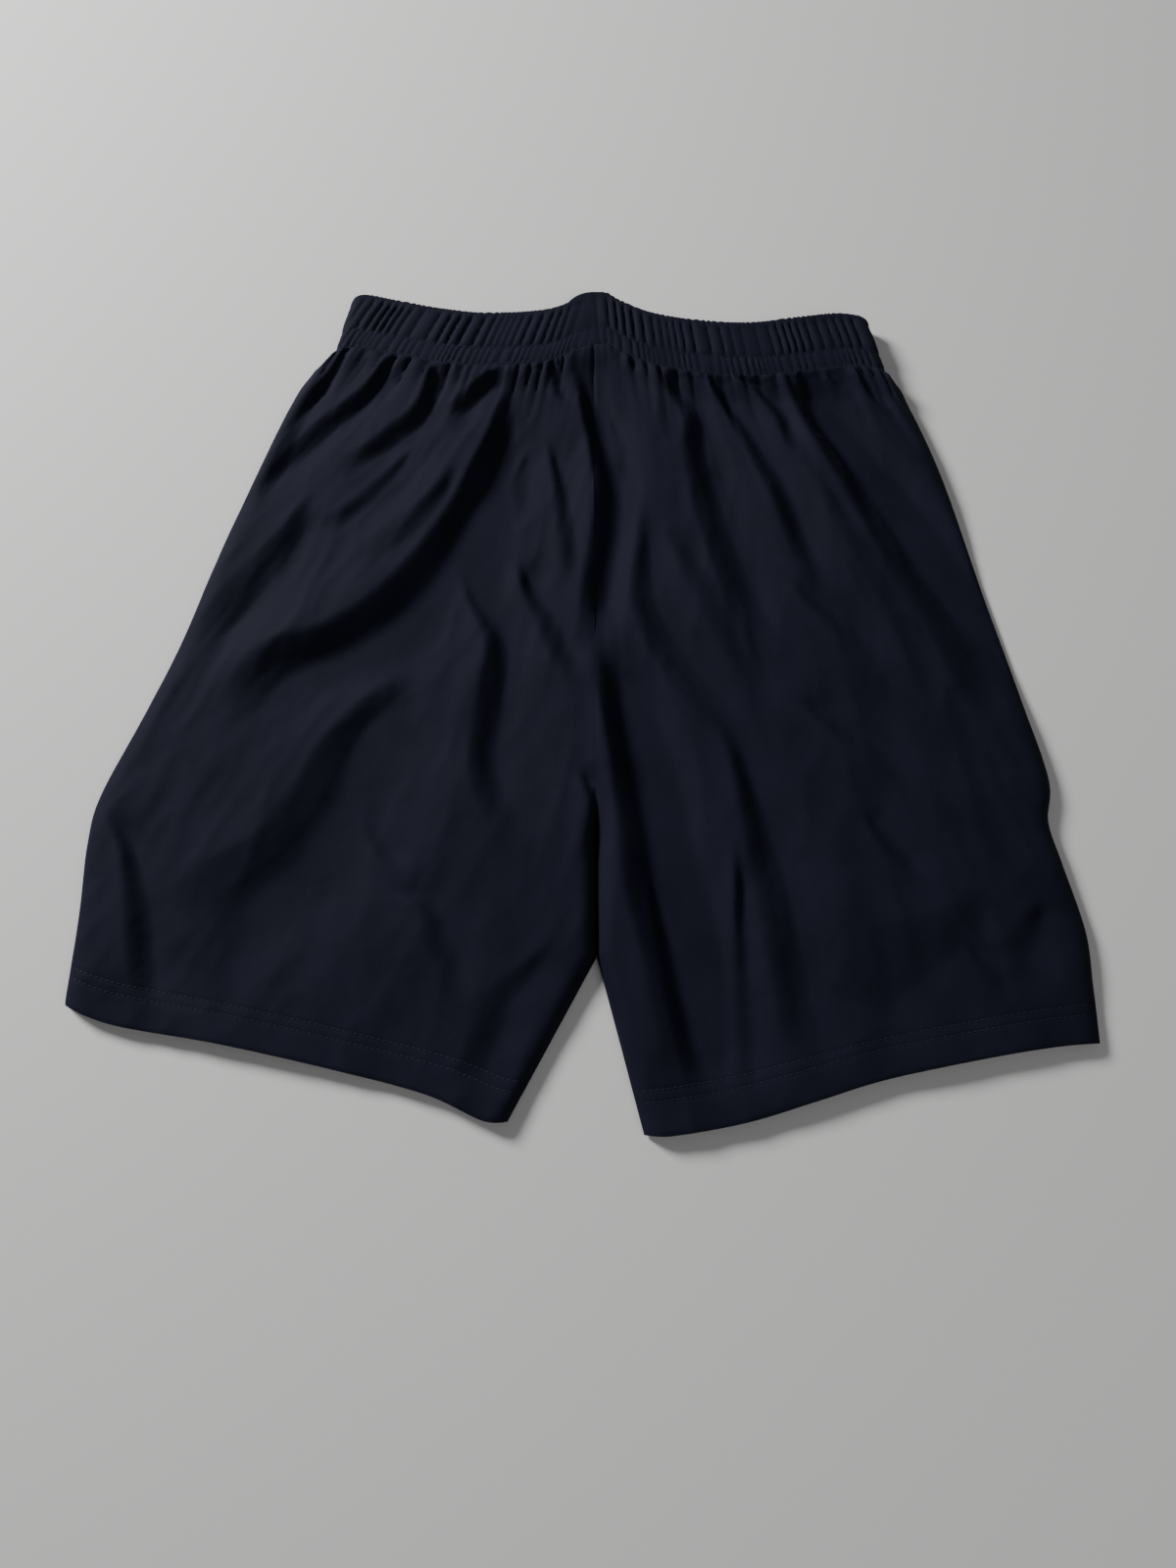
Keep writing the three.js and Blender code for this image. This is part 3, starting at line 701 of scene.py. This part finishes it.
for side, half in HALVES.items():
    for row, up_from_hem in (("upper", HEM_UPPER_ROW), ("lower", HEM_LOWER_ROW)):
        u = np.linspace(0.02, 0.98, 500)
        v = np.full_like(u, 1 - up_from_hem / half["long"])
        x, y, wide = plan(half, u, v)
        top_row = np.stack([x, y, back_height(half, u, v, x, y, wide) + 0.05], -1)
        low_row = np.stack([x, y, front_height(half, u, v, x, y, wide) - 0.05], -1)
        parts = [stitch_row("a", top_row, True), stitch_row("b", low_row, False, thread=0.4)]
        pieces[f"hem_stitch_{row}_{side}"] = joined(f"hem_threads_{row}_{side}", parts)
for row, down in (("upper", UPPER_ROW), ("lower", LOWER_ROW)):
    station = np.linspace(0, len(PATH[0]) - 1.001, 4 * len(PATH[0]))
    line = np.stack(ring_point(station, np.full_like(station, down), np.ones_like(station)), -1)
    pieces["band_stitch_" + row] = stitch_row("band_threads_" + row, line, True, 2.2, 0.9, 0.5)

# %% [markdown]
# ## Materials
# The cloth is a thin woven polyester, nearly black with some blue. At arm's length one sees its
# soft sheen and the small creases rather than the threads, but close up the threads show. One
# node group draws crossed threads from the UV map, so each material can place it at its own
# pitch. Plain noise in object coordinates adds the creases and the faint patches of wear.

# %% Weave group
def link(tree, a, b):
    tree.links.new(a, b)


def maths(tree, what, a, b=None):
    node = tree.nodes.new("ShaderNodeMath")
    node.operation = what
    for socket, value in zip(node.inputs, (a, b)):
        if value is None:
            continue
        if isinstance(value, (int, float)):
            socket.default_value = value
        else:
            link(tree, value, socket)
    return node.outputs[0]


weave = bpy.data.node_groups.new("Crossed threads", "ShaderNodeTree")
weave.interface.new_socket("Threads per metre", in_out="INPUT", socket_type="NodeSocketFloat")
weave.interface.new_socket("Slub", in_out="INPUT", socket_type="NodeSocketFloat")
weave.interface.new_socket("Height", in_out="OUTPUT", socket_type="NodeSocketFloat")
weave.interface.new_socket("Thread mask", in_out="OUTPUT", socket_type="NodeSocketFloat")
g_in = weave.nodes.new("NodeGroupInput")
g_out = weave.nodes.new("NodeGroupOutput")
coords = weave.nodes.new("ShaderNodeTexCoord")
split = weave.nodes.new("ShaderNodeSeparateXYZ")
link(weave, coords.outputs["UV"], split.inputs[0])
slub = weave.nodes.new("ShaderNodeTexNoise")
slub.inputs["Scale"].default_value = 900
link(weave, coords.outputs["Object"], slub.inputs["Vector"])
turns = maths(weave, "MULTIPLY", g_in.outputs[0], math.pi)
warp = maths(weave, "SINE", maths(weave, "MULTIPLY", split.outputs["X"], turns))
weft = maths(weave, "SINE", maths(weave, "MULTIPLY", split.outputs["Y"], turns))
over = maths(weave, "MULTIPLY", warp, weft)
off_middle = maths(weave, "SUBTRACT", slub.outputs["Fac"], 0.5)
uneven = maths(weave, "MULTIPLY", off_middle, g_in.outputs[1])
link(weave, maths(weave, "ADD", maths(weave, "MULTIPLY", over, 0.5), uneven), g_out.inputs[0])
link(weave, maths(weave, "ADD", maths(weave, "MULTIPLY", over, 0.25), 0.5), g_out.inputs[1])
print("weave group:", len(weave.nodes), "nodes")

# %% [markdown]
# ## Four fabrics
# One recipe makes them all: two close colours mixed by soft patches and by the weave, a rough
# surface with a faint sheen, and two bumps, one for small creases and one for the threads. The
# cloth, the thread, the elastic's webbing and the label's ribbon differ only in their values.

# %% Fabric materials
def fabric(name, dark, light, threads, slub_amount, rough, sheen, sheen_rough, tint,
           crease=0.0, weave_depth=0.00006):
    mat = bpy.data.materials.new(name)
    mat.use_nodes = True
    tree = mat.node_tree
    shader = tree.nodes["Principled BSDF"]
    shader.inputs["Sheen Weight"].default_value = sheen
    shader.inputs["Sheen Roughness"].default_value = sheen_rough
    shader.inputs["Sheen Tint"].default_value = (*tint, 1)
    shader.inputs["Specular IOR Level"].default_value = 0.06
    group = tree.nodes.new("ShaderNodeGroup")
    group.node_tree = weave
    group.inputs[0].default_value = threads
    group.inputs[1].default_value = slub_amount
    place = tree.nodes.new("ShaderNodeTexCoord")
    patches = tree.nodes.new("ShaderNodeTexNoise")
    patches.inputs["Scale"].default_value = 28
    patches.inputs["Detail"].default_value = 6
    link(tree, place.outputs["Object"], patches.inputs["Vector"])
    small = tree.nodes.new("ShaderNodeTexNoise")
    small.inputs["Scale"].default_value = 130
    small.inputs["Detail"].default_value = 4
    small.inputs["Distortion"].default_value = 0.6
    link(tree, place.outputs["Object"], small.inputs["Vector"])
    blend = maths(tree, "ADD", maths(tree, "MULTIPLY", patches.outputs["Fac"], 0.7),
                  maths(tree, "MULTIPLY", group.outputs[1], 0.3))
    ramp = tree.nodes.new("ShaderNodeValToRGB")
    ramp.color_ramp.elements[0].position = 0.32
    ramp.color_ramp.elements[0].color = (*dark, 1)
    ramp.color_ramp.elements[1].position = 0.68
    ramp.color_ramp.elements[1].color = (*light, 1)
    link(tree, blend, ramp.inputs["Fac"])
    link(tree, ramp.outputs["Color"], shader.inputs["Base Color"])
    spread = tree.nodes.new("ShaderNodeMapRange")
    spread.inputs["To Min"].default_value = rough - 0.06
    spread.inputs["To Max"].default_value = rough + 0.06
    link(tree, patches.outputs["Fac"], spread.inputs["Value"])
    link(tree, spread.outputs["Result"], shader.inputs["Roughness"])
    soft = tree.nodes.new("ShaderNodeBump")
    soft.inputs["Strength"].default_value = 1.0
    soft.inputs["Distance"].default_value = crease
    link(tree, small.outputs["Fac"], soft.inputs["Height"])
    fine = tree.nodes.new("ShaderNodeBump")
    fine.inputs["Strength"].default_value = 0.6
    fine.inputs["Distance"].default_value = weave_depth
    link(tree, group.outputs[0], fine.inputs["Height"])
    link(tree, soft.outputs["Normal"], fine.inputs["Normal"])
    link(tree, fine.outputs["Normal"], shader.inputs["Normal"])
    return mat


navy = fabric("Navy woven cloth", (.0055, .0061, .0128), (.0086, .0095, .0190), 2400, 0.5,
              0.76, 0.01, 0.40, (.55, .60, .90), crease=0.00022)
thread = fabric("Navy thread", (.012, .014, .022), (.022, .026, .038), 3000, 0.9,
                0.55, 0.15, 0.4, (.6, .65, .85))
webbing = fabric("Elastic webbing", (.006, .006, .007), (.014, .014, .016), 900, 0.6,
                 0.8, 0.1, 0.5, (.7, .7, .7), weave_depth=0.0003)
ribbon = fabric("Label ribbon", (.58, .58, .55), (.70, .70, .67), 3200, 0.3,
                0.5, 0.1, 0.4, (1, 1, 1))
print("fabrics:", [mat.name for mat in (navy, thread, webbing, ribbon)])

# %% [markdown]
# ## Which piece stands for what
# Each new piece hides the CAD nodes that it stands for, takes its material, and has its
# placement applied to its mesh.

# %% Dress the pieces
def dress(obj, mat):
    obj.data.materials.clear()
    obj.data.materials.append(mat)


STANDS_FOR = {
    "waistband": ["waistband_casing_left", "waistband_casing_right"],
    "elastic": ["waist_elastic_left", "waist_elastic_right"],
    "back_rise": ["back_rise_seam"],
    "front_rise": ["front_rise_seam"],
    "label": ["care_label"],
    "band_stitch_upper": ["waistband_stitch_upper_left", "waistband_stitch_upper_right"],
    "band_stitch_lower": ["waistband_stitch_lower_left", "waistband_stitch_lower_right"],
    "hem_left": ["hem_facing_left"],
    "hem_right": ["hem_facing_right"],
}
for key, piece in pieces.items():
    finish, mat = "shell_cloth", navy
    if "stitch" in key:
        finish, mat = "stitching", thread
    elif key == "elastic":
        finish, mat = "elastic", webbing
    elif key == "label":
        finish, mat = "label", ribbon
    dress(piece, mat)
    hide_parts(*STANDS_FOR.get(key, [key]))
    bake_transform(piece)

# %% [markdown]
# ## The sheets
# Only a count of sheets is printed here: three for each half and one for the band. The piece
# that the band is sewn from is cut longer than the relaxed, gathered band, to be gathered, and
# wider, to be folded over the elastic.

print("sheets declared:", 3 * len(HALVES) + 1)

# %% [markdown]
# ## Floor, light and camera
# A large soft light to the upper left shows the folds, and a weak even light from all round keeps
# the far sides readable. The camera looks down on the shorts at a slight slope.

# %% Set
bpy.ops.object.select_all(action="DESELECT")
bpy.ops.mesh.primitive_plane_add(size=16, location=(0, 0, 0))
floor = bpy.context.object
floor.name = "floor"
floor_mat = bpy.data.materials.new("Pale floor")
floor_mat.use_nodes = True
floor_inputs = floor_mat.node_tree.nodes["Principled BSDF"].inputs
floor_inputs["Base Color"].default_value = (.60, .59, .58, 1)
floor_inputs["Roughness"].default_value = 0.9
floor.data.materials.append(floor_mat)


def area_light(name, place, size, watts):
    data = bpy.data.lights.new(name, "AREA")
    data.shape = "DISK"
    data.size = size
    data.energy = watts
    obj = bpy.data.objects.new(name, data)
    bpy.context.scene.collection.objects.link(obj)
    turn = Vector(place).to_track_quat("Z", "Y").to_matrix().to_4x4()
    obj.matrix_world = Matrix.Translation(place) @ turn
    return obj


area_light("key", (-1.45, 1.1, 1.0), 0.6, 78)
area_light("fill", (1.2, -1.2, 1.8), 1.6, 11)
world = bpy.data.worlds.new("Soft room")
world.use_nodes = True
room = world.node_tree
air = room.nodes["Background"]
air.inputs["Color"].default_value = (0.95, 0.97, 1.0, 1)
air.inputs["Strength"].default_value = 0.13
glow = room.nodes.new("ShaderNodeBackground")
glow.inputs["Color"].default_value = (0.80, 0.81, 0.82, 1)
glow.inputs["Strength"].default_value = 0.75
which = room.nodes.new("ShaderNodeLightPath")
either = room.nodes.new("ShaderNodeMixShader")
link(room, which.outputs["Is Camera Ray"], either.inputs[0])
link(room, air.outputs[0], either.inputs[1])
link(room, glow.outputs[0], either.inputs[2])
link(room, either.outputs[0], room.nodes["World Output"].inputs[0])
bpy.context.scene.world = world

camera_data = bpy.data.cameras.new("camera")
camera_data.lens = 26
camera_data.sensor_width = 36
camera_data.clip_start = 0.01
camera = bpy.data.objects.new("camera", camera_data)
bpy.context.scene.collection.objects.link(camera)
right = Vector((0.99934, -0.00333, -0.03593))
upward = Vector((0.01245, 0.96632, 0.25699))
turn = Matrix((right, upward, right.cross(upward))).transposed()
camera.matrix_world = Matrix.Translation((0.0313, -0.2375, 0.640)) @ turn.to_4x4()
bpy.context.scene.camera = camera
print("camera at", [round(c, 3) for c in camera.matrix_world.translation])
